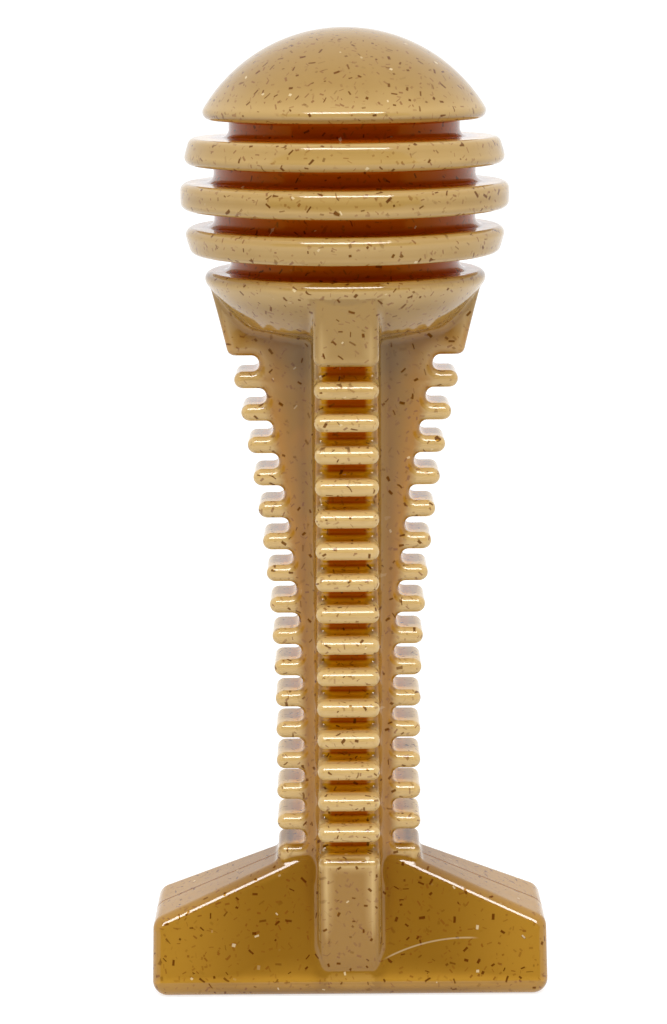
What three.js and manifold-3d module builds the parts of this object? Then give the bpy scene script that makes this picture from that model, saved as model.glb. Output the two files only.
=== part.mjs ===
// Pet toothbrush: a solid chew moulding with a grooved ball head, a toothed four-rib stem and a wedge foot.
// Millimetres, +Z up. The origin is the centre of the foot's flat underside, and the foot is long in X.
// The real object is one moulding. Each of its features is a separate solid here, touching its neighbours.
import * as THREE from "three";
import { mergeVertices } from "three/addons/utils/BufferGeometryUtils.js";
import { ConvexGeometry } from "three/addons/geometries/ConvexGeometry.js";
import Module from "manifold-3d";

// Head: a ball with level grooves that leave three discs between a dome and a cup.
const HEAD_CENTRE_Z = 125;
const HEAD_RADIUS = 25;
const DISC_LEVELS = ["upper", "middle", "lower"];
const GROOVE_LEVELS = ["top", "upper", "lower", "bottom"];
const DISC_THICKNESS = 4.05;
const GROOVE_GAP = 2.65;
const MIDDLE_GROOVE_DEPTH = 4.85;
const END_GROOVE_DEPTH = 5.35;
const RIM_ROUND = 0.8;
const CUP_DEPTH = 7.4;
const CUP_CORNER_ROUND = 2.2;

// Stem: four ribs round a cross-shaped core. Their outer edge is upright below the waist and flares above it.
const RIB_WIDTH = 9.7;
const WAIST_RADIUS = 11.15;
const WAIST_Z = 41.6;
const FLARE_ARC_RADIUS = 270;
const TOOTH_COUNT = 15;
const TOOTH_THICKNESS = 2.6;
const TOOTH_GAP = 2.45;
const TOOTH_LENGTH = 4.4;
const LOWEST_TOOTH_Z = 25.15;
const TOOTH_EDGE_ROUND = 1;
const RIB_END_ROUND = 1.2;
const CORNER_ROUND = 1.2;
const SPINE_THICKNESS = 1;

// Foot: a wedge that is widest at its base, with sloping shoulders and every edge rounded.
const FOOT_HALF_LENGTH = 31;
const FOOT_HALF_DEPTH = 13;
const FOOT_FACE_SLOPE = 0.385;
const FOOT_END_HEIGHT = 11.45;
const SHOULDER_SLOPE = 0.43;
const FOOT_ROUND = 2.2;

// How finely the curves are cut into flats.
const TURN_STEPS = 40;
const DOME_STEPS = 10;
const ROUND_STEPS = 2;

// How far two solids run into each other where they are joined into one.
const OVERLAP = 0.05;

// Sizes that follow from the ones above.
const discPitch = DISC_THICKNESS + GROOVE_GAP;
const grooveZone = (DISC_LEVELS.length * discPitch + GROOVE_GAP) / 2;
const cupBottomZ = HEAD_CENTRE_Z - grooveZone - CUP_DEPTH;
const toothPitch = TOOTH_THICKNESS + TOOTH_GAP;
const combBottomZ = LOWEST_TOOTH_Z - TOOTH_GAP;
const combTopZ = LOWEST_TOOTH_Z + TOOTH_COUNT * toothPitch;
const ribHalf = RIB_WIDTH / 2;
const slotRootRadius = WAIST_RADIUS - TOOTH_LENGTH;
const coreHalf = Math.min(ribHalf, slotRootRadius - SPINE_THICKNESS);
const cornerRound = Math.min(CORNER_ROUND, Math.max(slotRootRadius - ribHalf, OVERLAP));
const beyond = 2 * Math.max(HEAD_RADIUS, FOOT_HALF_LENGTH);

const wasm = await Module();
wasm.setup();

function solid(geometry) {
  const bare = geometry.clone();
  for (const name of Object.keys(bare.attributes)) {
    if (name !== "position") bare.deleteAttribute(name);
  }
  const merged = mergeVertices(bare, 1e-4);
  const vertProperties = merged.attributes.position.array;
  const triVerts = new Uint32Array(merged.index.array);
  return new wasm.Manifold(new wasm.Mesh({ numProp: 3, vertProperties, triVerts }));
}

function geometryOf(made) {
  const { vertProperties, triVerts } = made.getMesh();
  const geometry = new THREE.BufferGeometry();
  geometry.setAttribute("position", new THREE.BufferAttribute(vertProperties, 3));
  geometry.setIndex(new THREE.BufferAttribute(triVerts, 1));
  geometry.computeVertexNormals();
  return geometry;
}

// A closed box between two corners.
function block(low, high) {
  const size = high.map((value, axis) => value - low[axis]);
  const geometry = new THREE.BoxGeometry(...size);
  geometry.translate(...low.map((value, axis) => value + size[axis] / 2));
  return solid(geometry);
}

// Points on an arc of a circle, ends included, for angles in radians.
function arc(x, y, radius, from, to, steps) {
  return Array.from({ length: steps + 1 }, (_, i) => {
    const angle = from + ((to - from) * i) / steps;
    return new THREE.Vector2(x + radius * Math.cos(angle), y + radius * Math.sin(angle));
  });
}

// A body turned round the Z axis from radius and height pairs that start and end on the axis, lowest first.
function turned(profile) {
  const points = profile.map((point) => new THREE.Vector2(Math.max(point.x, 0), point.y));
  return new THREE.LatheGeometry(points, TURN_STEPS).rotateX(Math.PI / 2);
}

// A rounded rim where the ball ends at a level face, from the ball to the face. Side is 1 for a top face.
function rimArc(height, round, side) {
  const centreHeight = height - side * round;
  const centreRadius = Math.sqrt((HEAD_RADIUS - round) ** 2 - centreHeight ** 2);
  const start = Math.atan2(centreHeight, centreRadius);
  return arc(centreRadius, centreHeight, round, start, (side * Math.PI) / 2, ROUND_STEPS);
}

// Points on the ball's own arc between two of its points, without them.
function onBall(low, high, steps) {
  const [from, to] = [low, high].map((point) => Math.atan2(point.y, point.x));
  return arc(0, 0, HEAD_RADIUS, from, to, steps).slice(1, -1);
}

// The ball's zone between two heights, with both rims rounded. The profile runs upwards.
function ballZone(low, high, lowRound, highRound) {
  const lowRim = rimArc(low, lowRound, -1).reverse();
  const highRim = rimArc(high, highRound, 1);
  return [
    new THREE.Vector2(0, low),
    ...lowRim,
    ...onBall(lowRim[lowRim.length - 1], highRim[0], 2),
    ...highRim,
    new THREE.Vector2(0, high),
  ];
}

function domeGeometry() {
  const rim = rimArc(grooveZone, RIM_ROUND, -1).reverse();
  const top = new THREE.Vector2(0, HEAD_RADIUS);
  const crown = onBall(rim[rim.length - 1], top, DOME_STEPS);
  return turned([new THREE.Vector2(0, grooveZone), ...rim, ...crown, top]);
}

function discGeometry(centre) {
  const half = DISC_THICKNESS / 2;
  return turned(ballZone(centre - half, centre + half, RIM_ROUND, RIM_ROUND));
}

function cupGeometry() {
  return turned(ballZone(-grooveZone - CUP_DEPTH, -grooveZone, CUP_CORNER_ROUND, RIM_ROUND));
}

// The neck inside one groove, with a full round root that meets the flats above and below it.
function neckGeometry(centre, depth) {
  const half = GROOVE_GAP / 2;
  const rootRadius = Math.sqrt(HEAD_RADIUS ** 2 - centre ** 2) - depth;
  const root = arc(rootRadius + half, 0, half, 1.5 * Math.PI, 0.5 * Math.PI, 2 * ROUND_STEPS);
  root.forEach((point) => point.setY(point.y + centre));
  return turned([
    new THREE.Vector2(0, centre - half),
    ...root,
    new THREE.Vector2(0, centre + half),
  ]);
}

// How far the ribs' outer edge is from the axis at a height.
function ribReach(z) {
  const above = Math.max(0, z - WAIST_Z);
  return WAIST_RADIUS + FLARE_ARC_RADIUS - Math.sqrt(FLARE_ARC_RADIUS ** 2 - above ** 2);
}

// A rib's outline seen from its side: x is the distance from the axis and y the height.
function ribOutline(bottom, top) {
  const outline = [new THREE.Vector2(0, bottom), new THREE.Vector2(ribReach(bottom), bottom)];
  const tipRound = TOOTH_THICKNESS / 2;
  const rootRound = TOOTH_GAP / 2;
  const corner = (z, side) => {
    const centre = ribReach(z) - RIB_END_ROUND;
    const [from, to] = side > 0 ? [-Math.PI / 2, 0] : [0, Math.PI / 2];
    return arc(centre, z + side * RIB_END_ROUND, RIB_END_ROUND, from, to, ROUND_STEPS);
  };
  outline.push(...corner(combBottomZ, -1));
  for (let i = 0; i <= TOOTH_COUNT; i += 1) {
    const slotZ = combBottomZ + i * toothPitch + rootRound;
    const root = ribReach(slotZ) - TOOTH_LENGTH + rootRound;
    outline.push(...arc(root, slotZ, rootRound, 1.5 * Math.PI, 0.5 * Math.PI, 2 * ROUND_STEPS));
    if (i < TOOTH_COUNT) {
      const toothZ = slotZ + rootRound + tipRound;
      const tip = ribReach(toothZ) - tipRound;
      outline.push(...arc(tip, toothZ, tipRound, -Math.PI / 2, Math.PI / 2, 2 * ROUND_STEPS));
    }
  }
  outline.push(...corner(combTopZ, 1));
  const flareSteps = Math.ceil((top - combTopZ) / toothPitch) + 1;
  for (let i = 1; i <= flareSteps; i += 1) {
    const z = combTopZ + RIB_END_ROUND + ((top - combTopZ - RIB_END_ROUND) * i) / flareSteps;
    outline.push(new THREE.Vector2(ribReach(z), z));
  }
  outline.push(new THREE.Vector2(0, top));
  return outline;
}

// One whole rib, pointing along +X, with softened long edges.
function ribSolid(bottom, top) {
  const shape = new THREE.Shape(ribOutline(bottom, top));
  const geometry = new THREE.ExtrudeGeometry(shape, {
    depth: RIB_WIDTH - 2 * TOOTH_EDGE_ROUND,
    bevelEnabled: true,
    bevelThickness: TOOTH_EDGE_ROUND,
    bevelSize: TOOTH_EDGE_ROUND,
    bevelOffset: -TOOTH_EDGE_ROUND,
    bevelSegments: 1,
  });
  geometry.translate(0, 0, -ribHalf + TOOTH_EDGE_ROUND);
  geometry.rotateX(Math.PI / 2);
  return solid(geometry);
}

// The concave rounds in the four corners between the ribs.
function cornerRounds(bottom, top) {
  const inner = ribHalf - OVERLAP;
  const outer = ribHalf + cornerRound;
  const corner = new THREE.Shape([
    new THREE.Vector2(inner, inner),
    new THREE.Vector2(outer, inner),
    ...arc(outer, outer, cornerRound, 1.5 * Math.PI, Math.PI, 2 * ROUND_STEPS),
    new THREE.Vector2(inner, outer),
  ]);
  const geometry = new THREE.ExtrudeGeometry(corner, { depth: top - bottom, bevelEnabled: false });
  geometry.translate(0, 0, bottom);
  const quarters = [0, 1, 2, 3].map((i) => solid(geometry.clone().rotateZ((i * Math.PI) / 2)));
  return quarters.reduce((all, quarter) => all.add(quarter));
}

// The space that belongs to the rib along +X: outside the core, and up to the mitres with its neighbours.
function ribSpace(bottom, top) {
  const wedge = new THREE.Shape([
    new THREE.Vector2(coreHalf, -coreHalf),
    new THREE.Vector2(beyond, -beyond),
    new THREE.Vector2(beyond, beyond),
    new THREE.Vector2(coreHalf, coreHalf),
  ]);
  const geometry = new THREE.ExtrudeGeometry(wedge, { depth: top - bottom, bevelEnabled: false });
  return solid(geometry.translate(0, 0, bottom));
}

// The foot's wedge: the hull of balls set one rounding radius inside its corners.
function wedgeSolid() {
  const depthAt = (z) => FOOT_HALF_DEPTH - FOOT_FACE_SLOPE * z;
  const shoulderZ = FOOT_END_HEIGHT + SHOULDER_SLOPE * (FOOT_HALF_LENGTH - WAIST_RADIUS);
  const faceInset = FOOT_ROUND * Math.hypot(1, FOOT_FACE_SLOPE);
  const topInset = FOOT_ROUND * Math.hypot(1, SHOULDER_SLOPE);
  const endX = FOOT_HALF_LENGTH - FOOT_ROUND;
  const centres = [
    [endX, FOOT_ROUND],
    [endX, FOOT_END_HEIGHT + SHOULDER_SLOPE * FOOT_ROUND - topInset],
    [WAIST_RADIUS, shoulderZ - topInset],
  ];
  const ball = new THREE.IcosahedronGeometry(FOOT_ROUND, 3).attributes.position;
  const points = [];
  for (const [x, z] of centres) {
    for (const [sideX, sideY] of [[1, 1], [1, -1], [-1, 1], [-1, -1]]) {
      const centre = new THREE.Vector3(sideX * x, sideY * (depthAt(z) - faceInset), z);
      for (let i = 0; i < ball.count; i += 1) {
        points.push(new THREE.Vector3().fromBufferAttribute(ball, i).add(centre));
      }
    }
  }
  return solid(new ConvexGeometry(points));
}

// The space behind a keel: the wedge's sloping face, without its rounds, and the neck above it.
function keelSeat() {
  const seat = new THREE.Shape([
    new THREE.Vector2(0, 0),
    new THREE.Vector2(FOOT_HALF_DEPTH, 0),
    new THREE.Vector2(FOOT_HALF_DEPTH - FOOT_FACE_SLOPE * combBottomZ, combBottomZ),
    new THREE.Vector2(0, combBottomZ),
  ]);
  const slope = new THREE.ExtrudeGeometry(seat, { depth: 2 * RIB_WIDTH, bevelEnabled: false });
  slope.translate(0, 0, -RIB_WIDTH).rotateX(Math.PI / 2);
  const besideNeck = block([-ribHalf, -RIB_WIDTH, 0], [ribHalf, RIB_WIDTH, 2 * combBottomZ]);
  return solid(slope).add(besideNeck);
}

const nylon = new THREE.MeshStandardMaterial({ color: 0xc8a064, roughness: 0.32, metalness: 0 });
const toothbrush = new THREE.Group();

function place(parent, name, geometry) {
  const mesh = new THREE.Mesh(geometry, nylon);
  mesh.name = name;
  parent.add(mesh);
}

// Head, modelled round the ball's centre.
const head = new THREE.Group();
head.position.z = HEAD_CENTRE_Z;
toothbrush.add(head);
place(head, "dome_cap", domeGeometry());
place(head, "head_cup", cupGeometry());
const heightOf = (levels, i) => ((levels.length - 1) / 2 - i) * discPitch;
DISC_LEVELS.forEach((level, i) => {
  place(head, `scraper_disc_${level}`, discGeometry(heightOf(DISC_LEVELS, i)));
});
GROOVE_LEVELS.forEach((level, i) => {
  const atAnEnd = i === 0 || i === GROOVE_LEVELS.length - 1;
  const depth = atAnEnd ? END_GROOVE_DEPTH : MIDDLE_GROOVE_DEPTH;
  place(head, `groove_neck_${level}`, neckGeometry(heightOf(GROOVE_LEVELS, i), depth));
});

// Stem: a square core, and on each side a comb of teeth with a solid bracket above it.
const stem = new THREE.Group();
toothbrush.add(stem);
const coreLength = cupBottomZ - combBottomZ;
const core = new THREE.BoxGeometry(2 * coreHalf, 2 * coreHalf, coreLength);
place(stem, "stem_core", core.translate(0, 0, combBottomZ + coreLength / 2));
const cupInPlace = solid(cupGeometry().translate(0, 0, HEAD_CENTRE_Z));
const ribTopZ = HEAD_CENTRE_Z - grooveZone - RIM_ROUND;
const plainRib = ribSolid(FOOT_ROUND, ribTopZ);
const wholeRib = plainRib.add(cornerRounds(combBottomZ, ribTopZ));
const comb = geometryOf(wholeRib.intersect(ribSpace(combBottomZ, combTopZ)));
const bracket = geometryOf(wholeRib.intersect(ribSpace(combTopZ, ribTopZ)).subtract(cupInPlace));
["right", "back", "left", "front"].forEach((side, i) => {
  const quarter = (i * Math.PI) / 2;
  place(stem, `tooth_comb_${side}`, comb.clone().rotateZ(quarter));
  place(stem, `bracket_${side}`, bracket.clone().rotateZ(quarter));
});

// Foot: the wedge with the lower ends of the core and the side ribs, and a keel on its front and back.
const base = new THREE.Group();
toothbrush.add(base);
const neck = block([-WAIST_RADIUS, -ribHalf, 2 * FOOT_ROUND], [WAIST_RADIUS, ribHalf, combBottomZ]);
place(base, "foot_wedge", geometryOf(wedgeSolid().add(neck)));
const keelSpace = block([0, -beyond, 0], [beyond, beyond, combBottomZ]);
const keel = geometryOf(plainRib.intersect(keelSpace).subtract(keelSeat()));
["back", "front"].forEach((side, i) => {
  place(base, `foot_keel_${side}`, keel.clone().rotateZ(Math.PI * (0.5 + i)));
});

export default toothbrush;
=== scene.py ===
"""Pet toothbrush: a chew moulded in fibre-flecked amber nylon, standing in a plain white studio."""

import math

import bpy
import numpy as np
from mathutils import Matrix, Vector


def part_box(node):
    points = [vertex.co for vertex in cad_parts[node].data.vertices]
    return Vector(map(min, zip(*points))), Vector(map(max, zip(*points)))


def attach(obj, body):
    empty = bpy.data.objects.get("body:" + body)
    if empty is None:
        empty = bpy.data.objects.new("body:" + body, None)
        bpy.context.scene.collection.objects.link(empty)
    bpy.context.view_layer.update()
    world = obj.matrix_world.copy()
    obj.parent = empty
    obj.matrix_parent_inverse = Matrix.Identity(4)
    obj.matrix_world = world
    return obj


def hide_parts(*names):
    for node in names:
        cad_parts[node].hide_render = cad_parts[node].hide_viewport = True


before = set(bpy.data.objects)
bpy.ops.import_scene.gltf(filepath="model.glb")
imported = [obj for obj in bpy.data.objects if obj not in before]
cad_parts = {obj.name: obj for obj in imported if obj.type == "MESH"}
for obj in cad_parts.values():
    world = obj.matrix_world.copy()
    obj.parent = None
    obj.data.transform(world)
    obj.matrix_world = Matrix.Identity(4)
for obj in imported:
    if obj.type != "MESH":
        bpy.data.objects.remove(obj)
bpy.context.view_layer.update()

MM = 0.001


def box_mm(node):
    """A CAD node's lowest and highest corner, in millimetres."""
    return [np.array(corner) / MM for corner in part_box(node)]


# ---------------------------------------------------------------- sizes, in millimetres

# The ball, its discs and its grooves.
disc_low, disc_high = box_mm("scraper_disc_middle")
BALL_CENTRE_Z = (disc_low[2] + disc_high[2]) / 2
BALL_RADIUS = disc_high[0]
DISC_THICKNESS = disc_high[2] - disc_low[2]
GROOVE_GAP = disc_low[2] - box_mm("scraper_disc_lower")[1][2]
DISC_PITCH = DISC_THICKNESS + GROOVE_GAP
GROOVE_ZONE = (3 * DISC_PITCH + GROOVE_GAP) / 2
MIDDLE_NECK_RADIUS = 19.9
END_NECK_RADIUS = 17.5
RIM_ROUND = 1.15
FLOOR_ROUND = 1.25
ROOF_ROUND = 0.5
HIDDEN_LAP = 0.4
HIDDEN_ROUND = 0.1
NECK_REACH = 3
NECK_DEPTH = 4
CUP_HEART_Z = BALL_CENTRE_Z - GROOVE_ZONE - 2
CUP_CONE_SLOPE = 0.24
CUP_CONE_APEX = -23.3
CUP_CORNER_ROUND = 3

# The ribs and their teeth.
comb_low, comb_high = box_mm("tooth_comb_front")
RIB_HALF = box_mm("foot_keel_front")[1][0]
COMB_BOTTOM_Z = comb_low[2]
COMB_TOP_Z = comb_high[2]
WAIST_RADIUS = 11.35
WAIST_Z = 41.6
FLARE_ARC_RADIUS = 270
TOOTH_COUNT = 15
TOOTH_THICKNESS = 2.6
TOOTH_LENGTH = 4.4
TOOTH_PITCH = (COMB_TOP_Z - COMB_BOTTOM_Z + TOOTH_THICKNESS) / (TOOTH_COUNT + 1)
TOOTH_GAP = TOOTH_PITCH - TOOTH_THICKNESS
SLOT_ROUND = 1.1
RIB_EDGE_ROUND = 1.2
BRACKET_ROUND = 1.2
CORNER_ROUND = 1.8
JOINT_ROUND = 1.3

# The foot.
foot_low, foot_high = box_mm("foot_wedge")
FOOT_HALF_LENGTH = foot_high[0] + 0.2
FOOT_HALF_DEPTH = foot_high[1]
FOOT_FACE_SLOPE = 0.385
FOOT_FACE_START = FOOT_HALF_DEPTH + 1
SHOULDER_SLOPE = 0.43
FOOT_END_HEIGHT = 11.45
FOOT_END_ROUND = 2.4
FOOT_EDGE_ROUND = 2.2
LIP_EDGE_ROUND = 0.4
FOOT_HEART_Z = 10
STEM_START_Z = 1
SHARP = 0.01

# How far into and out from the surface its thinness and openness are measured, and how fast a slot's
# colour deepens from the rib's sides inwards, against how fast it deepens from the rib's outer edge.
THIN_DEPTHS = (1.5, 3, 6)
OPEN_HEIGHTS = (3, 6)
SIDE_GLOW = 1.6
DEEPEST = 20

# Mesh fineness.
CELL = 0.36
TURN_STEPS = 160


# ---------------------------------------------------------------- camera

LENS_MM = 85.8
SENSOR_MM = 36
CAMERA_DISTANCE = 0.3735
CAMERA_HEIGHT = BALL_CENTRE_Z * MM + 0.026
CAMERA_ASIDE = -0.0015
CAMERA_PITCH = math.radians(11.4)
CAMERA_ROLL = math.radians(0.44)


def make_camera():
    data = bpy.data.cameras.new("camera")
    data.sensor_width = SENSOR_MM
    data.lens = LENS_MM
    camera = bpy.data.objects.new("camera", data)
    camera.location = (CAMERA_ASIDE, -CAMERA_DISTANCE, CAMERA_HEIGHT)
    camera.rotation_euler = (math.pi / 2 - CAMERA_PITCH, CAMERA_ROLL, 0)
    bpy.context.collection.objects.link(camera)
    bpy.context.scene.camera = camera


make_camera()


# ---------------------------------------------------------------- smooth solids
# A field is a pair: the signed distance of each point from a surface, and the distance's gradient.


def fold(points):
    """Mirrors all points into the quarter where x and y are over 0."""
    return np.column_stack([np.abs(points[:, :2]), points[:, 2]])


def plane(points, normal, offset):
    """The half space below a plane. The normal needn't be a unit one."""
    normal = np.array(normal, float)
    size = np.linalg.norm(normal)
    gradient = np.broadcast_to(normal / size, points.shape)
    return points @ (normal / size) - offset / size, gradient


def either(a, b):
    """Two solids joined with a sharp crease."""
    first = a[0] <= b[0]
    return np.where(first, a[0], b[0]), np.where(first[:, None], a[1], b[1])


def joined(a, b, radius):
    """Two solids joined with a concave round of that radius where they meet."""
    sharp = either(a, b)
    turn = np.clip(np.einsum("ij,ij->i", a[1], b[1]), -0.98, 0.98)
    deep_a, deep_b = radius - a[0], radius - b[0]
    pull_a = (deep_a - turn * deep_b) / (1 - turn**2)
    pull_b = (deep_b - turn * deep_a) / (1 - turn**2)
    reach = pull_a[:, None] * a[1] + pull_b[:, None] * b[1]
    size = np.linalg.norm(reach, axis=1)
    rounded = (pull_a > 0) & (pull_b > 0) & (size > 1e-9) & (radius - size < sharp[0])
    size = np.where(rounded, size, 1)
    distance = np.where(rounded, radius - size, sharp[0])
    gradient = np.where(rounded[:, None], reach / size[:, None], sharp[1])
    return distance, gradient


def inverse(a):
    return -a[0], -a[1]


def common(a, b, radius):
    """What two solids share, with its edge rounded."""
    return inverse(joined(inverse(a), inverse(b), radius))


def rib_reach(z):
    """How far a rib's outer edge is from the axis at each height, and how fast that grows."""
    above = np.clip(z - WAIST_Z, 0, 0.5 * FLARE_ARC_RADIUS)
    across = np.sqrt(FLARE_ARC_RADIUS**2 - above**2)
    return WAIST_RADIUS + FLARE_ARC_RADIUS - across, above / across


def rib_plane(points, axis, inset):
    """The space inside a rib's outer edge, moved in by inset."""
    reach, slope = rib_reach(points[:, 2])
    size = np.sqrt(1 + slope**2)
    gradient = np.zeros_like(points)
    gradient[:, axis] = 1 / size
    gradient[:, 2] = -slope / size
    return (points[:, axis] - reach + inset) / size, gradient


def teeth(points, axis):
    """The nearest tooth to each point, as a bar that ends in a half round."""
    lowest = COMB_BOTTOM_Z + TOOTH_GAP + TOOTH_THICKNESS / 2
    number = np.clip(np.round((points[:, 2] - lowest) / TOOTH_PITCH), 0, TOOTH_COUNT - 1)
    middle = lowest + number * TOOTH_PITCH
    out = np.maximum(points[:, axis] - rib_reach(middle)[0] + TOOTH_THICKNESS / 2, 0)
    up = points[:, 2] - middle
    size = np.maximum(np.hypot(out, up), 1e-9)
    gradient = np.zeros_like(points)
    gradient[:, axis] = out / size
    gradient[:, 2] = up / size
    return size - TOOTH_THICKNESS / 2, gradient


def rib(points, axis):
    """A pair of opposite ribs: left and right for axis 0, front and back for 1. Points come folded."""
    edge = rib_plane(points, axis, 0)
    bracket = common(edge, plane(points, (0, 0, -1), -COMB_TOP_Z), BRACKET_ROUND)
    lower = common(edge, plane(points, (0, 0, 1), COMB_BOTTOM_Z), BRACKET_ROUND)
    outer = either(either(bracket, lower), teeth(points, axis))
    comb = joined(rib_plane(points, axis, TOOTH_LENGTH), outer, SLOT_ROUND)
    side = [0, 0, 0]
    side[1 - axis] = 1
    full = common(comb, plane(points, side, RIB_HALF), RIB_EDGE_ROUND)
    return common(full, plane(points, (0, 0, 1), CUP_HEART_Z), SHARP)


def ball(points):
    from_centre = points - (0, 0, BALL_CENTRE_Z)
    size = np.maximum(np.linalg.norm(from_centre, axis=1), 1e-9)
    return size - BALL_RADIUS, from_centre / size[:, None]


def barrel(points, radius, slope=0.0, apex=0.0):
    """Inside a cylinder, or above a cone that opens upwards where a slope is given."""
    across = np.maximum(np.hypot(points[:, 0], points[:, 1]), 1e-9)
    outward = points[:, :2] / across[:, None]
    if not slope:
        return across - radius, np.column_stack([outward, np.zeros(len(points))])
    size = math.hypot(1, slope)
    distance = (slope * across - (points[:, 2] - apex)) / size
    return distance, np.column_stack([outward * slope / size, np.full(len(points), -1 / size)])


def cup(points):
    """The ball's lower cap, with a blunt underside, and the neck that stands on it."""
    top = BALL_CENTRE_Z - GROOVE_ZONE
    underside = barrel(points, 0, CUP_CONE_SLOPE, BALL_CENTRE_Z + CUP_CONE_APEX)
    bowl = common(ball(points), underside, CUP_CORNER_ROUND)
    bowl = common(bowl, plane(points, (0, 0, 1), top), RIM_ROUND)
    neck_top = plane(points, (0, 0, 1), top + GROOVE_GAP + HIDDEN_LAP)
    neck_bottom = plane(points, (0, 0, -1), NECK_DEPTH - top)
    neck = common(barrel(points, END_NECK_RADIUS), neck_top, HIDDEN_ROUND)
    neck = common(neck, neck_bottom, HIDDEN_ROUND)
    return joined(bowl, neck, FLOOR_ROUND)


def foot(points):
    """The wedge, with its sloping shoulders and faces and a low upright lip."""
    end = plane(points, (1, 0, 0), FOOT_HALF_LENGTH)
    shoulder = plane(points, (SHOULDER_SLOPE, 0, 1), FOOT_END_HEIGHT + SHOULDER_SLOPE * FOOT_HALF_LENGTH)
    outline = common(end, shoulder, FOOT_END_ROUND)
    outline = common(outline, plane(points, (0, 0, -1), 0), FOOT_END_ROUND)
    face = plane(points, (0, 1, FOOT_FACE_SLOPE), FOOT_FACE_START)
    face = common(face, plane(points, (0, 1, 0), FOOT_HALF_DEPTH), LIP_EDGE_ROUND)
    return common(outline, face, FOOT_EDGE_ROUND)


def moulding(points):
    """Everything below the ball's grooves."""
    folded = fold(points)
    stem = joined(rib(folded, 0), rib(folded, 1), CORNER_ROUND)
    stem = common(stem, plane(folded, (0, 0, -1), -STEM_START_Z), SHARP)
    standing = joined(stem, foot(folded), JOINT_ROUND)
    distance, gradient = joined(standing, cup(folded), JOINT_ROUND)
    signs = np.where(points[:, :2] < 0, -1, 1)
    return distance, np.column_stack([gradient[:, :2] * signs, gradient[:, 2]])


def skin_of(field, reach):
    """The quarter of a mirrored field's surface with x and y over 0, as points and four-sided faces.

    Space is cut into cells. A cell that the surface crosses gets one point on the surface, and every
    cell edge that it crosses gets a face between the four cells around that edge.
    """
    counts = [int(np.ceil(size / CELL)) + 2 for size in reach]
    starts = np.array([-CELL / 2, -CELL / 2, -1.5 * CELL])
    axes = [starts[i] + CELL * np.arange(counts[i]) for i in range(3)]
    inside = np.empty(counts, bool)
    for i, x in enumerate(axes[0]):
        y, z = np.meshgrid(axes[1], axes[2], indexing="ij")
        sheet = np.column_stack([np.full(y.size, x), y.ravel(), z.ravel()])
        inside[i] = (field(sheet)[0] < 0).reshape(y.shape)
    cells = tuple(count - 1 for count in counts)
    total = np.zeros(cells, np.uint8)
    for i, j, k in np.ndindex(2, 2, 2):
        total += inside[i : i + cells[0], j : j + cells[1], k : k + cells[2]]
    crossed = (total > 0) & (total < 8)
    number = np.full(cells, -1)
    number[crossed] = np.arange(crossed.sum())
    points = starts + (np.argwhere(crossed) + 0.5) * CELL
    faces = []
    for axis in range(3):
        ahead = np.roll(inside, -1, axis)
        turned = np.argwhere(inside != ahead)
        turned = turned[turned[:, axis] < cells[axis]]
        others = [(axis + 1) % 3, (axis + 2) % 3]
        limits = [cells[other] for other in others]
        across = turned[:, others]
        turned = turned[(across > 0).all(1) & (across < limits).all(1)]
        ring = []
        for first, second in ((-1, -1), (0, -1), (0, 0), (-1, 0)):
            cell = turned.copy()
            cell[:, others[0]] += first
            cell[:, others[1]] += second
            ring.append(number[tuple(cell.T)])
        ring = np.column_stack(ring)
        leaving = inside[tuple(turned.T)]
        ring[~leaving] = ring[~leaving][:, ::-1]
        faces.append(ring)
    faces = np.concatenate(faces)
    faces = faces[(faces >= 0).all(1)]
    return settle(field, points, faces), faces


def settle(field, points, faces):
    """Evens the points out along the surface and puts each exactly on it."""
    on_mirror = np.abs(points[:, :2]) < CELL / 4
    edges = np.concatenate([faces[:, [i, (i + 1) % 4]] for i in range(4)])
    edges = np.concatenate([edges, edges[:, ::-1]])
    degree = np.maximum(np.bincount(edges[:, 0], minlength=len(points)), 1)
    for even_out in (0, 1, 1, 1, 0):
        if even_out:
            sums = [np.bincount(edges[:, 0], points[edges[:, 1], i], len(points)) for i in range(3)]
            points = points + 0.6 * (np.column_stack(sums) / degree[:, None] - points)
        for _ in range(3):
            distance, gradient = field(points)
            step = np.clip(distance, -CELL, CELL)[:, None] * gradient
            points = points - step
            points[:, :2][on_mirror] = 0
    return points


def mirrored(points, faces):
    """The whole skin from its quarter, with the shared points merged."""
    everything, rings = [], []
    for sign_x in (1, -1):
        for sign_y in (1, -1):
            rings.append((faces if sign_x * sign_y > 0 else faces[:, ::-1]) + len(points) * len(rings))
            everything.append(points * (sign_x, sign_y, 1))
    everything, rings = np.concatenate(everything), np.concatenate(rings)
    keys = np.round(everything, 5) + 0.0
    first, same = np.unique(keys, axis=0, return_index=True, return_inverse=True)[1:]
    return everything[first], same.ravel()[rings]


# ---------------------------------------------------------------- pieces


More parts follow.
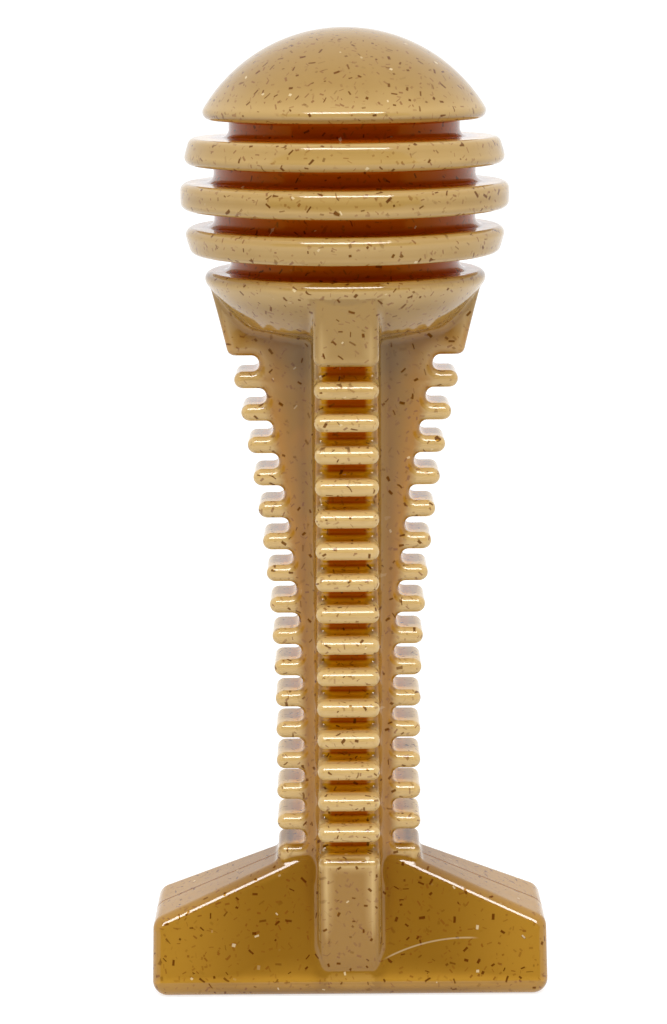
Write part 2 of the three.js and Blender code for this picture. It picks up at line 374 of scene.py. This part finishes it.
def ball_and_grooves(points):
    """The dome, the discs and the necks between them."""
    sphere = ball(points)
    dome = common(sphere, plane(points, (0, 0, -1), -BALL_CENTRE_Z - GROOVE_ZONE), RIM_ROUND)
    solid = dome
    for number in (-1, 0, 1):
        middle = BALL_CENTRE_Z + number * DISC_PITCH
        above = plane(points, (0, 0, 1), middle + DISC_THICKNESS / 2)
        below = plane(points, (0, 0, -1), DISC_THICKNESS / 2 - middle)
        disc = common(common(sphere, above, RIM_ROUND), below, RIM_ROUND)
        neck_middle = middle + (DISC_THICKNESS + GROOVE_GAP) / 2
        radius = END_NECK_RADIUS if number == 1 else MIDDLE_NECK_RADIUS
        neck_top = plane(points, (0, 0, 1), neck_middle + NECK_REACH)
        neck_bottom = plane(points, (0, 0, -1), NECK_REACH - neck_middle)
        neck = common(common(barrel(points, radius), neck_top, HIDDEN_ROUND), neck_bottom, HIDDEN_ROUND)
        solid = either(either(solid, disc), neck)
    return solid


def whole(points):
    return either(moulding(points), ball_and_grooves(points))


# Each measure takes points on the surface and their normals, and becomes an attribute of the mesh.


def thinness(points, normals):
    """0 where the nylon behind the surface is thick, towards 1 where light comes through from behind."""
    shares = [1 + whole(points - normals * depth)[0] / depth for depth in THIN_DEPTHS]
    return np.clip(sum(shares) / len(shares), 0, 1)


def buried(points, normals):
    """How deep a point lies in a slot or a groove: its depth in the body as it would be without them."""
    folded = fold(points)
    in_rib = []
    for axis in (0, 1):
        from_side = SIDE_GLOW * (RIB_HALF - folded[:, 1 - axis])
        in_rib.append(np.minimum(-rib_plane(folded, axis, 0)[0], from_side))
    in_grooves = points[:, 2] > BALL_CENTRE_Z - GROOVE_ZONE - 0.2
    depth = np.where(in_grooves, -ball(points)[0], np.maximum(*in_rib))
    return np.clip(depth, 0, 8)


def openness(points, normals):
    """1 on an open surface, towards 0 down in a slot, a groove or an inner corner."""
    shares = [whole(points + normals * height)[0] / height for height in OPEN_HEIGHTS]
    return np.clip(sum(shares) / len(shares), 0, 1)


def rib_depth(points, normals):
    """How far a point is from the outer edge of the rib that it lies on."""
    folded = fold(points)
    depths = [-rib_plane(folded, axis, 0)[0] for axis in (0, 1)]
    return np.clip(np.minimum(*depths), 0, DEEPEST)


def footness(points, normals):
    """1 on the foot and 0 on the ribs and all above them."""
    folded = fold(points)
    ribs = np.minimum(rib(folded, 0)[0], rib(folded, 1)[0])
    return np.clip(0.5 + (ribs - foot(folded)[0]) / 2, 0, 1) * (points[:, 2] < WAIST_Z)


MEASURES = {
    "thin": thinness,
    "open": openness,
    "buried": buried,
    "depth": rib_depth,
    "foot": footness,
}


def make_piece(name, points, faces, normals):
    """One named mesh from points in millimetres, with each point's own normal for smooth shading."""
    mesh = bpy.data.meshes.new(name)
    mesh.from_pydata((points * MM).tolist(), [], faces)
    for mark, measure in MEASURES.items():
        attribute = mesh.attributes.new(mark, "FLOAT", "POINT")
        attribute.data.foreach_set("value", measure(points, normals).astype(np.float32))
    mesh.shade_smooth()
    mesh.normals_split_custom_set_from_vertices(normals.tolist())
    piece = bpy.data.objects.new(name, mesh)
    bpy.context.collection.objects.link(piece)
    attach(piece, "root")
    return piece


def arc(centre, radius, start, end, steps, hollow=False):
    """Profile rows of radius, height and outward normal along a round, from and to angles in degrees."""
    angles = np.radians(np.linspace(start, end, steps + 1))
    normals = np.column_stack([np.cos(angles), np.sin(angles)])
    return np.column_stack([np.array(centre) + radius * normals, -normals if hollow else normals])


def turn(name, profile):
    """A body turned round the axis from profile rows that run upwards and start and end on the axis."""
    angles = 2 * np.pi * np.arange(TURN_STEPS) / TURN_STEPS
    around = np.column_stack([np.cos(angles), np.sin(angles)])
    points, normals, faces = [], [], []
    for radius, height, out, up in profile[1:-1]:
        points.append(np.column_stack([radius * around, np.full(TURN_STEPS, height)]))
        normals.append(np.column_stack([out * around, np.full(TURN_STEPS, up)]))
    poles = profile[[0, -1]]
    points.append(np.column_stack([np.zeros((2, 2)), poles[:, 1]]))
    normals.append(np.array([[0, 0, -1], [0, 0, 1]]))
    rings = len(profile) - 2
    for i in range(TURN_STEPS):
        j = (i + 1) % TURN_STEPS
        for ring in range(rings - 1):
            low, high = ring * TURN_STEPS, (ring + 1) * TURN_STEPS
            faces.append((low + i, low + j, high + j, high + i))
        faces.append((rings * TURN_STEPS, j, i))
        last = (rings - 1) * TURN_STEPS
        faces.append((rings * TURN_STEPS + 1, last + i, last + j))
    points = np.concatenate(points) + (0, 0, BALL_CENTRE_Z)
    return make_piece(name, points, faces, np.concatenate(normals))


def flat(start, end, height, up, steps=5):
    """Profile rows along a level flat, without its two ends."""
    return [(radius, height, 0, up) for radius in np.linspace(start, end, steps + 2)[1:-1]]


def ball_zone(low, high, neck_below, neck_above):
    """The profile of the ball between two level cuts, with the foot of the neck above it."""
    inner = BALL_RADIUS - RIM_ROUND
    rim_low = (math.sqrt(inner**2 - (low + RIM_ROUND) ** 2), low + RIM_ROUND)
    start = math.degrees(math.atan2(rim_low[1], rim_low[0]))
    roof = (neck_below + ROOF_ROUND, low - ROOF_ROUND)
    rows = [
        [(0, roof[1], 0, -1)],
        arc(roof, ROOF_ROUND, 180, 90, 5, hollow=True),
        flat(roof[0], rim_low[0], low, -1),
        arc(rim_low, RIM_ROUND, -90, start, 8),
    ]
    if high is None:
        rows += [arc((0, 0), BALL_RADIUS, start, 90, 48)[1:]]
        return np.concatenate(rows)
    rim_high = (math.sqrt(inner**2 - (high - RIM_ROUND) ** 2), high - RIM_ROUND)
    end = math.degrees(math.atan2(rim_high[1], rim_high[0]))
    top = high + GROOVE_GAP + HIDDEN_LAP
    rows += [
        arc((0, 0), BALL_RADIUS, start, end, 4)[1:-1],
        arc(rim_high, RIM_ROUND, end, 90, 8),
        flat(rim_high[0], neck_above + FLOOR_ROUND, high, 1),
        arc((neck_above + FLOOR_ROUND, high + FLOOR_ROUND), FLOOR_ROUND, 270, 180, 8, hollow=True),
        [(neck_above, top, 1, 0), (0, top, 0, 1)],
    ]
    return np.concatenate(rows)


def make_ball_pieces():
    necks = [END_NECK_RADIUS, MIDDLE_NECK_RADIUS, MIDDLE_NECK_RADIUS, END_NECK_RADIUS]
    dome = turn("dome", ball_zone(GROOVE_ZONE, None, necks[0], None))
    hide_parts("dome_cap")
    made = [dome]
    grooves = ("top", "upper", "lower")
    for i, level in enumerate(("upper", "middle", "lower")):
        middle = (1 - i) * DISC_PITCH
        low, high = middle - DISC_THICKNESS / 2, middle + DISC_THICKNESS / 2
        disc = turn(f"disc_{level}", ball_zone(low, high, necks[i + 1], necks[i]))
        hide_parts(f"scraper_disc_{level}", f"groove_neck_{grooves[i]}")
        made.append(disc)
    return made


def owner_of(points):
    """Which feature each point of the skin belongs to."""
    folded = fold(points)
    left_right, front_back = rib(folded, 0)[0], rib(folded, 1)[0]
    nearest = np.argmin([cup(folded)[0], foot(folded)[0], np.minimum(left_right, front_back)], axis=0)
    side_on = folded[:, 0] > folded[:, 1]
    side = np.where(
        side_on,
        np.where(points[:, 0] > 0, "right", "left"),
        np.where(points[:, 1] > 0, "back", "front"),
    )
    top_cut, low_cut = COMB_TOP_Z - TOOTH_GAP / 2, COMB_BOTTOM_Z + TOOTH_GAP / 2
    height = points[:, 2]
    level = np.where(height > top_cut, "rib_bracket_", np.where(height > low_cut, "comb_", "keel_"))
    owner = np.char.add(level, side)
    owner[np.isin(owner, ["keel_left", "keel_right"])] = "foot"
    owner[nearest == 0] = "cup"
    owner[(nearest == 1) & (height < low_cut)] = "foot"
    return owner


def closed(points, faces, inside):
    """Closes an open skin with faces from its rim to the points inside that the function gives."""
    edges = np.concatenate([faces[:, [i, (i + 1) % 4]] for i in range(4)])
    known = set(map(tuple, edges.tolist()))
    rim = [(a, b) for a, b in known if (b, a) not in known]
    ends = sorted({a for edge in rim for a in edge})
    targets = np.round([inside(points[end]) for end in ends], 4)
    spots, which = np.unique(targets, axis=0, return_inverse=True)
    to = {end: len(points) + spot for end, spot in zip(ends, which.ravel().tolist())}
    caps = []
    for a, b in rim:
        caps.append((b, a, to[a]) if to[a] == to[b] else (b, a, to[a], to[b]))
    return np.concatenate([points, spots]), faces.tolist() + sorted(caps)


PIECE_NAMES = {"cup": "cup_with_neck", "foot": "foot_body"}
REPLACED = {
    "cup": ("head_cup", "groove_neck_bottom"),
    "foot": ("foot_wedge",),
    "comb_front": ("tooth_comb_front", "stem_core"),
}
HEARTS = {"cup": CUP_HEART_Z, "foot": FOOT_HEART_Z}


def nodes_replaced(owner):
    """The CAD nodes that a feature's piece takes the place of."""
    usual = owner.replace("comb_", "tooth_comb_").replace("keel_", "foot_keel_").replace("rib_", "")
    return REPLACED.get(owner, (usual,))


def make_skin_pieces():
    """The cup, brackets, combs, keels and foot, cut from one unbroken skin along its creases."""
    reach = (FOOT_HALF_LENGTH + 1, BALL_RADIUS + 1, BALL_CENTRE_Z - GROOVE_ZONE + GROOVE_GAP + 2)
    points, faces = mirrored(*skin_of(moulding, reach))
    normals = moulding(points)[1]
    owners = owner_of(points[faces].mean(axis=1))
    made = []
    for owner in sorted(set(owners)):
        own = faces[owners == owner]
        used, local = np.unique(own, return_inverse=True)
        heart = HEARTS.get(owner)

        def inside(point, heart=heart):
            return (0, 0, point[2] if heart is None else heart)

        body, rings = closed(points[used], local.reshape(own.shape), inside)
        caps = np.tile((0, 0, 1), (len(body) - len(used), 1))
        name = PIECE_NAMES.get(owner, owner)
        piece = make_piece(name, body, rings, np.concatenate([normals[used], caps]))
        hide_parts(*nodes_replaced(owner))
        made.append(piece)
    return made


pieces = make_ball_pieces() + make_skin_pieces()


# ---------------------------------------------------------------- material

class Nodes:
    """Short ways to add and join shader nodes in one tree."""

    def __init__(self, tree):
        self.tree = tree

    def add(self, kind, settings=None, **inputs):
        node = self.tree.nodes.new(kind)
        for key, value in (settings or {}).items():
            setattr(node, key, value)
        for key, value in inputs.items():
            self.put(node.inputs[key.replace("_", " ")], value)
        return node

    def put(self, socket, value):
        if isinstance(value, bpy.types.NodeSocket):
            self.tree.links.new(value, socket)
        else:
            socket.default_value = value

    def math(self, operation, *values):
        node = self.add("ShaderNodeMath", {"operation": operation})
        for socket, value in zip(node.inputs, values):
            self.put(socket, value)
        return node.outputs[0]

    def times(self, first, second):
        return self.math("MULTIPLY", first, second)

    def most(self, first, second):
        return self.math("MAXIMUM", first, second)

    def rest(self, share):
        return self.math("SUBTRACT", 1.0, share)

    def parts(self, vector):
        return self.add("ShaderNodeSeparateXYZ", Vector=vector).outputs

    def mark(self, name):
        return self.add("ShaderNodeAttribute", {"attribute_name": name}).outputs["Fac"]

    def vector(self, operation, *values, scale=None, out=0):
        node = self.add("ShaderNodeVectorMath", {"operation": operation})
        for socket, value in zip(node.inputs, values):
            self.put(socket, value)
        if scale is not None:
            self.put(node.inputs["Scale"], scale)
        return node.outputs[out]

    def ramp(self, value, low, high, start=0.0, end=1.0):
        node = self.add("ShaderNodeMapRange", {"interpolation_type": "SMOOTHSTEP"})
        for socket, given in zip(node.inputs, (value, low, high, start, end)):
            self.put(socket, given)
        return node.outputs[0]

    def mix(self, share, first, second):
        node = self.add("ShaderNodeMix", {"data_type": "RGBA"})
        self.put(node.inputs[0], share)
        self.put(node.inputs[6], first)
        self.put(node.inputs[7], second)
        return node.outputs[2]

    def noise(self, where, scale, detail=2.0):
        node = self.add("ShaderNodeTexNoise", Vector=where, Scale=scale, Detail=detail)
        return node.outputs


def flecks(n, where, normal, spacing, length, width, share, seed):
    """Short fibres that lie in the surface: 1 on a fibre and 0 off it. Sizes are in millimetres."""
    moved = n.vector("ADD", where, (seed, -seed, 2 * seed))
    cells = n.add("ShaderNodeTexVoronoi", Vector=moved, Scale=1 / spacing)
    dice = n.add("ShaderNodeTexWhiteNoise", Vector=cells.outputs["Position"])
    rolls = n.add("ShaderNodeSeparateColor", Color=cells.outputs["Color"]).outputs
    to_point = n.vector("SUBTRACT", moved, cells.outputs["Position"])
    aim = n.vector("SUBTRACT", dice.outputs["Color"], (0.5, 0.5, 0.5))
    tilt = n.vector("DOT_PRODUCT", aim, normal, out=1)
    tangent = n.vector("NORMALIZE", n.vector("SUBTRACT", aim, n.vector("SCALE", normal, scale=tilt)))
    depth = n.vector("DOT_PRODUCT", to_point, normal, out=1)
    flat_way = n.vector("SUBTRACT", to_point, n.vector("SCALE", normal, scale=depth))
    along = n.vector("DOT_PRODUCT", flat_way, tangent, out=1)
    aside = n.vector("SUBTRACT", flat_way, n.vector("SCALE", tangent, scale=along))
    aside = n.vector("LENGTH", aside, out=1)
    half = n.math("MULTIPLY", n.math("ADD", rolls[1], 0.35), length / 2)
    thick = n.math("MULTIPLY", n.math("ADD", rolls[2], 0.5), width / 2)
    on_line = n.ramp(n.math("DIVIDE", aside, thick), 1.3, 0.7)
    on_length = n.ramp(n.math("DIVIDE", n.math("ABSOLUTE", along), half), 1.15, 0.85)
    chosen = n.math("LESS_THAN", rolls[0], share)
    shallow = n.ramp(n.math("ABSOLUTE", depth), 0.5 * spacing, 0.15 * spacing)
    return n.math("MULTIPLY", n.math("MULTIPLY", on_line, on_length), n.math("MULTIPLY", chosen, shallow))


# Layers of flecks: spacing, length, width, share of places filled, seed.
FAINT_FLECKS = (1.2, 0.6, 0.24, 0.6, 31.0)
MIDDLING_FLECKS = (1.6, 0.7, 0.24, 0.55, 7.0)
DARK_FLECKS = (2.0, 0.85, 0.3, 0.7, 0.0)
# The pale specks are painted glints, light caught by fine scratches.
PALE_SPECKS = (3.5, 0.5, 0.35, 0.2, 57.0)

# A faint curved flow mark on the front of the foot, in millimetres.
FLOW_X = 18.5
FLOW_Z = -21
FLOW_RADIUS = 30
FLOW_START = 4.9
FLOW_END = 20.5

# Where looks come in, in millimetres: up the part, out from its middle or from a line, and in from a rib's
# outer edge or from the mouth of a slot or groove. A look is absent at the first and full at the second.
HEAD_FADE = (92.0, 104.0)
STAIN_FADE = (22.0, 36.0)
BRACKET_FADE_BELOW = (93.0, 97.0)
BRACKET_FADE_ABOVE = (109.0, 103.0)
BRACKET_FADE_OUT = (7.0, 11.0)
FOOT_END_FADE = (12.0, 30.0)
ROOT_FADE = (3.4, 5.2)
ROOT_GLOW_FADE = (8.0, 4.8)
# Depths over which the painted amber glow and the painted deep shade come in.
RECESS_GLOW_FADE = (0.8, 2.2)
DEEP_SHADE_FADE = (2.2, 3.6)
SEAM_FADE = (0.3, 0.14)
FLOW_FADE = (0.18, 0.04)
FLOW_TAPER = 2

# How fine each noise is, in swings per millimetre.
STAIN_CLOUDS = 0.11
UNEVEN_CLOUDS = 0.14
FIBRE_BENDS = 0.8
FINE_GRAIN = 1.1
BROAD_WAVES = 0.15

# Heights of the bump, in millimetres before its strength.
FINE_HEIGHT = 0.012
BROAD_HEIGHT = 0.22
SEAM_HEIGHT = 0.05
FLECK_DIP = 0.01
BUMP_STRENGTH = 0.5
NYLON_IOR = 1.5

FOOT_COLOUR = (0.21, 0.096, 0.007, 1)
# Painted glow of light coming through the foot's thin edges and ends.
FOOT_EDGE_GLOW_COLOUR = (0.40, 0.205, 0.022, 1)
STEM_COLOUR = (0.255, 0.125, 0.012, 1)
HEAD_COLOUR = (0.275, 0.157, 0.032, 1)
# Painted glow of light coming through thin nylon.
THIN_GLOW_COLOUR = (0.515, 0.345, 0.13, 1)
SHADED_COLOUR = (0.20, 0.08, 0.005, 1)
# Amber for random clouds, the side brackets and a painted glow of light at the roots of the teeth.
AMBER_CLOUD_AND_GLOW_COLOUR = (0.38, 0.155, 0.007, 1)
# Painted light and shade in slots and grooves: an amber glow near their mouths, dark red shade deep
# inside, gold where light falls from above.
RECESS_GLOW_COLOUR = (0.66, 0.33, 0.008, 1)
DEEP_SHADE_COLOUR = (0.39, 0.068, 0.0005, 1)
LIT_GOLD_COLOUR = (0.97, 0.52, 0.008, 1)
FLECK_COLOUR = (0.075, 0.013, 0.0005, 1)
FAINT_FLECK_COLOUR = (0.16, 0.045, 0.004, 1)
PALE_SPECK_COLOUR = (0.75, 0.62, 0.38, 1)
WHITE = (1, 1, 1, 1)


def amber_clouds_and_glow(n, where, spot, at_root, in_stem, in_foot):
    """How much amber the stem shows: in random clouds, in a painted glow of light through the nylon around
    the roots of the teeth, and on the side brackets.
    """
    clouds = n.ramp(n.noise(where, STAIN_CLOUDS)["Fac"], 0.46, 0.7, 0.0, 0.6)
    clouds = n.times(clouds, n.ramp(spot["Z"], *STAIN_FADE))
    # Painted light: a glow of light through the nylon on the walls around the roots of the teeth.
    glow = n.times(n.times(at_root, n.ramp(n.mark("depth"), *ROOT_GLOW_FADE)), 0.6)
    on_stem = n.times(n.most(clouds, n.times(glow, n.rest(in_foot))), in_stem)
    at_bracket = n.times(n.ramp(spot["Z"], *BRACKET_FADE_BELOW), n.ramp(spot["Z"], *BRACKET_FADE_ABOVE))
    on_side = n.ramp(n.math("ABSOLUTE", spot["X"]), *BRACKET_FADE_OUT, 0.0, 0.5)
    return n.most(on_stem, n.times(at_bracket, on_side))


def plain_colour(n, where, spot, normal):
    """The nylon's colour without its flecks, with painted shade and painted glow, and how deep in a slot
    or a groove it is, from 0 to 1.
    """
    in_foot = n.mark("foot")
    in_head = n.ramp(spot["Z"], *HEAD_FADE)
    in_stem = n.rest(in_head)
    uneven = n.times(n.math("SUBTRACT", n.noise(where, UNEVEN_CLOUDS, 3.0)["Fac"], 0.5), 0.18)
    thin = n.math("ADD", n.mark("thin"), uneven)
    at_root = n.times(n.ramp(n.mark("depth"), *ROOT_FADE), in_stem)
    # Painted light: thin nylon off the foot is painted paler, as a glow of light coming through from
    # behind; half as much on the head and none at the roots of the teeth.
    thin_glow = n.times(n.ramp(thin, 0.15, 0.6), n.ramp(in_head, 0.0, 1.0, 1.0, 0.5))
    thin_glow = n.times(thin_glow, n.rest(at_root))

    # Painted light: the foot is painted paler at its thin edges and towards its ends, as a glow of light
    # coming through the nylon.
    far_out = n.ramp(n.math("ABSOLUTE", spot["X"]), *FOOT_END_FADE, 0.0, 0.6)
    foot_edge_glow = n.most(n.ramp(thin, 0.1, 0.5), far_out)
    colour = n.mix(in_head, STEM_COLOUR, HEAD_COLOUR)
    colour = n.mix(in_foot, colour, n.mix(foot_edge_glow, FOOT_COLOUR, FOOT_EDGE_GLOW_COLOUR))
    colour = n.mix(amber_clouds_and_glow(n, where, spot, at_root, in_stem, in_foot), colour, AMBER_CLOUD_AND_GLOW_COLOUR)
    shade = n.times(n.ramp(n.mark("open"), 1.0, 0.3, 0.0, 0.55), n.rest(thin_glow))
    colour = n.mix(shade, colour, SHADED_COLOUR)
    colour = n.mix(n.times(thin_glow, n.rest(in_foot)), colour, THIN_GLOW_COLOUR)

    # Painted light and shade in slots and grooves: just inside them an amber glow of light scattered in
    # the nylon, deeper in a dark red painted shade. On the stem, faces turned upwards count as less deep
    # and are painted gold instead, as if lit from above.
    upward = n.parts(normal)["Z"]
    buried_depth = n.math("SUBTRACT", n.mark("buried"), n.times(n.ramp(upward, 0.3, 0.9), in_stem))
    colour = n.mix(n.ramp(buried_depth, *RECESS_GLOW_FADE), colour, RECESS_GLOW_COLOUR)
    deep = n.ramp(buried_depth, *DEEP_SHADE_FADE)
    lit_from_above = n.times(n.ramp(upward, 0.2, 0.8), in_stem)
    return n.mix(deep, colour, n.mix(lit_from_above, DEEP_SHADE_COLOUR, LIT_GOLD_COLOUR)), deep


def flow_mark(n, spot):
    """1 on the curved flow mark and 0 off it."""
    east = n.math("SUBTRACT", spot["X"], FLOW_X)
    up = n.math("SUBTRACT", spot["Z"], FLOW_Z)
    to_spot = n.add("ShaderNodeCombineXYZ", X=east, Y=up).outputs[0]
    from_arc = n.math("ABSOLUTE", n.math("SUBTRACT", n.vector("LENGTH", to_spot, out=1), FLOW_RADIUS))
    in_reach = n.times(
        n.ramp(spot["X"], FLOW_START, FLOW_START + FLOW_TAPER),
        n.ramp(spot["X"], FLOW_END, FLOW_END - FLOW_TAPER),
    )
    in_front = n.times(n.math("LESS_THAN", spot["Y"], -1), n.math("GREATER_THAN", spot["Z"], 0))
    on_face = n.times(n.mark("foot"), in_front)
    return n.times(n.ramp(from_arc, *FLOW_FADE), n.times(in_reach, on_face))


def nylon():
    """Half see-through amber nylon with bamboo flecks, whose colour follows the shape's measures."""
    material = bpy.data.materials.new("fibre_nylon")
    material.use_nodes = True
    tree = material.node_tree
    tree.nodes.clear()
    n = Nodes(tree)
    where = n.vector("SCALE", n.add("ShaderNodeTexCoord").outputs["Object"], scale=1 / MM)
    spot = n.parts(where)
    normal = n.add("ShaderNodeNewGeometry").outputs["Normal"]
    colour, deep = plain_colour(n, where, spot, normal)

    bend = n.vector("SUBTRACT", n.noise(where, FIBRE_BENDS, 1.0)["Color"], (0.5, 0.5, 0.5))
    bent = n.vector("ADD", where, n.vector("SCALE", bend, scale=0.2))
    dark = flecks(n, bent, normal, *DARK_FLECKS)
    seam = n.times(n.ramp(n.math("ABSOLUTE", spot["Y"]), *SEAM_FADE), n.mark("foot"))
    for share, strength, tone in (
        (flecks(n, bent, normal, *FAINT_FLECKS), 0.45, FAINT_FLECK_COLOUR),
        (flecks(n, bent, normal, *MIDDLING_FLECKS), 0.7, FAINT_FLECK_COLOUR),
        (dark, 0.85, FLECK_COLOUR),
        # Painted glints: pale specks for light caught by fine scratches.
        (flecks(n, bent, normal, *PALE_SPECKS), 0.5, PALE_SPECK_COLOUR),
        (seam, 0.7, FAINT_FLECK_COLOUR),
        (flow_mark(n, spot), 0.28, PALE_SPECK_COLOUR),
    ):
        colour = n.mix(n.times(share, strength), colour, tone)

    fine = n.noise(where, FINE_GRAIN)["Fac"]
    broad = n.noise(where, BROAD_WAVES, 1.0)["Fac"]
    height = n.math("ADD", n.times(fine, FINE_HEIGHT), n.times(broad, BROAD_HEIGHT))
    height = n.math("ADD", height, n.times(seam, SEAM_HEIGHT))
    height = n.math("SUBTRACT", height, n.times(dark, FLECK_DIP))
    bump = n.add("ShaderNodeBump", Strength=BUMP_STRENGTH, Distance=MM, Height=height).outputs[0]
    rough = n.most(n.ramp(fine, 0.2, 0.8, 0.06, 0.11), n.times(seam, 0.55))
    shader = n.add("ShaderNodeBsdfPrincipled", Base_Color=colour, Roughness=rough, Normal=bump)
    # Painted shade in the gloss: reflections deep in slots and grooves are tinted amber, and so are those
    # on the dark flecks.
    n.put(shader.inputs["Specular Tint"], n.mix(n.most(deep, dark), WHITE, RECESS_GLOW_COLOUR))
    shader.inputs["IOR"].default_value = NYLON_IOR
    n.add("ShaderNodeOutputMaterial", Surface=shader.outputs[0])
    return material


fibre_nylon = nylon()
for piece in pieces:
    piece.data.materials.append(fibre_nylon)


# ---------------------------------------------------------------- studio

SOFTBOX_DISTANCE = 0.8
SOFTBOX_WIDTH = 0.75
SOFTBOX_AIM_HEIGHT = 0.08
FLOOR_HALF = 2.5
FLOOR_GREY = (0.35, 0.35, 0.35, 1)
FLOOR_GLOW = 0.75
CARD_HALF_WIDTH = 1.3
CARD_LOW = 0.001
CARD_HIGH = 0.85
CARD_AWAY = 0.95
CARD_BLACK = (0.03, 0.03, 0.03, 1)
MATT = 0.9
CEILING_STRENGTH = 1.1
BACKDROP_STRENGTH = 1.15


def make_floor():
    """A floor that glows a little, so that it is as white as the world behind it."""
    mesh = bpy.data.meshes.new("floor")
    half = FLOOR_HALF
    corners = [(-half, -half, 0), (half, -half, 0), (half, half, 0), (-half, half, 0)]
    mesh.from_pydata(corners, [], [(0, 1, 2, 3)])
    floor = bpy.data.objects.new("floor", mesh)
    bpy.context.collection.objects.link(floor)
    material = bpy.data.materials.new("floor_white")
    material.use_nodes = True
    shader = material.node_tree.nodes["Principled BSDF"]
    shader.inputs["Base Color"].default_value = FLOOR_GREY
    shader.inputs["Roughness"].default_value = MATT
    shader.inputs["Emission Color"].default_value = WHITE
    shader.inputs["Emission Strength"].default_value = FLOOR_GLOW
    mesh.materials.append(material)


def make_card():
    """A dark card where the photographer stands, which only the object's gloss shows."""
    mesh = bpy.data.meshes.new("dark_card")
    half, away = CARD_HALF_WIDTH, CARD_AWAY
    low_corners = [(-half, -away, CARD_LOW), (half, -away, CARD_LOW)]
    corners = low_corners + [(half, -away, CARD_HIGH), (-half, -away, CARD_HIGH)]
    mesh.from_pydata(corners, [], [(0, 1, 2, 3)])
    card = bpy.data.objects.new("dark_card", mesh)
    bpy.context.collection.objects.link(card)
    card.visible_camera = False
    material = bpy.data.materials.new("card_black")
    material.use_nodes = True
    shader = material.node_tree.nodes["Principled BSDF"]
    shader.inputs["Base Color"].default_value = CARD_BLACK
    shader.inputs["Roughness"].default_value = MATT
    shader.inputs["Specular IOR Level"].default_value = 0.1
    mesh.materials.append(material)


def make_softbox(name, elevation, height, energy, for_gloss):
    """A wide softbox in front of the object and above it, which lights either the colour or the gloss."""
    data = bpy.data.lights.new(name, "AREA")
    data.shape = "RECTANGLE"
    data.size = SOFTBOX_WIDTH
    data.size_y = height
    data.energy = energy
    light = bpy.data.objects.new(name, data)
    height_above = SOFTBOX_DISTANCE * math.sin(elevation)
    light.location = (0, -SOFTBOX_DISTANCE * math.cos(elevation), SOFTBOX_AIM_HEIGHT + height_above)
    light.rotation_euler = (math.pi / 2 - elevation, 0, 0)
    light.visible_diffuse = not for_gloss
    light.visible_glossy = for_gloss
    bpy.context.collection.objects.link(light)


def make_world():
    """A white studio with a bright ceiling."""
    world = bpy.data.worlds.new("studio")
    bpy.context.scene.world = world
    world.use_nodes = True
    tree = world.node_tree
    n = Nodes(tree)
    way = n.add("ShaderNodeSeparateXYZ", Vector=n.add("ShaderNodeTexCoord").outputs["Generated"]).outputs
    ceiling = n.ramp(way["Z"], 0.75, 0.95, 1.0, CEILING_STRENGTH)
    strength = n.math("MULTIPLY", ceiling, n.ramp(way["Y"], -0.2, 0.4, 1.0, BACKDROP_STRENGTH))
    background = tree.nodes["Background"]
    background.inputs["Color"].default_value = WHITE
    tree.links.new(strength, background.inputs["Strength"])


make_floor()
make_card()
make_world()
make_softbox("softbox_fill", math.radians(47), height=0.2, energy=5.6, for_gloss=False)
make_softbox("softbox_edge", math.radians(49), height=0.25, energy=10, for_gloss=True)
bpy.context.scene.view_settings.view_transform = "Standard"
